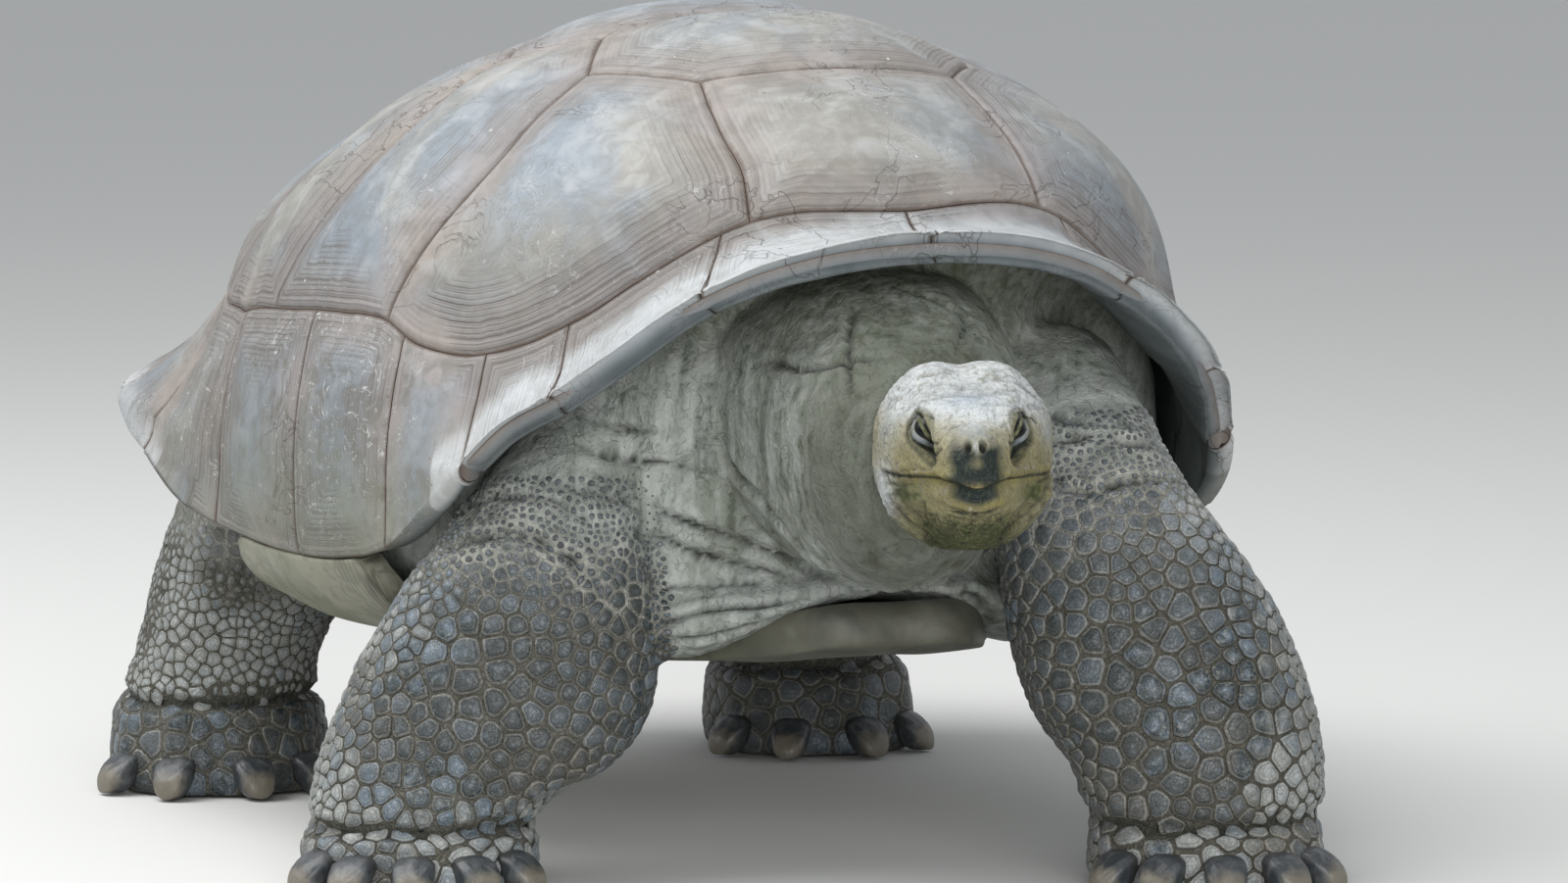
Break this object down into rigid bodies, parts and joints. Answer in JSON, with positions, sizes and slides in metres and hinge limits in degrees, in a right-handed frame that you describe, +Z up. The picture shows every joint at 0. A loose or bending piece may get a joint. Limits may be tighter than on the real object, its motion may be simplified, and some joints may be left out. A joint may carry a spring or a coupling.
{
  "type": "giant tortoise",
  "caption": "Life-size giant tortoise with a domed shell, striding with its head turned to the viewer.",
  "frame": {"origin": "on the floor, under the middle of the animal's box", "axes": "+Z up, the animal faces -Y, +X is its left"},
  "size_m": [0.8347, 1.2337, 0.6414],
  "materials": {
    "shell": "worn horn, dull with a slight sheen",
    "belly_shell": "worn horn, dull",
    "skin": "dry wrinkled skin with horny scales",
    "face": "dry, finely scaled",
    "claw": "worn horn",
    "eye": "wet and glossy"
  },
  "bodies": {
    "root": {"carapace": "shell", "plastron": "belly_shell", "trunk": "skin", "neck": "skin", "tail": "skin", "foreleg_left": "skin", "foreleg_right": "skin", "hindleg_left": "skin", "hindleg_right": "skin", "forefoot_left": "skin", "forefoot_right": "skin", "hindfoot_left": "skin", "hindfoot_right": "skin", "head": "face", "lower_jaw": "face", "eye_left": "eye", "eye_right": "eye", "forefoot_left_claw_1": "claw", "forefoot_left_claw_2": "claw", "forefoot_left_claw_3": "claw", "forefoot_left_claw_4": "claw", "forefoot_left_claw_5": "claw", "forefoot_right_claw_1": "claw", "forefoot_right_claw_2": "claw", "forefoot_right_claw_3": "claw", "forefoot_right_claw_4": "claw", "forefoot_right_claw_5": "claw", "hindfoot_left_claw_1": "claw", "hindfoot_left_claw_2": "claw", "hindfoot_left_claw_3": "claw", "hindfoot_left_claw_4": "claw", "hindfoot_right_claw_1": "claw", "hindfoot_right_claw_2": "claw", "hindfoot_right_claw_3": "claw", "hindfoot_right_claw_4": "claw"}
  },
  "joints": []
}
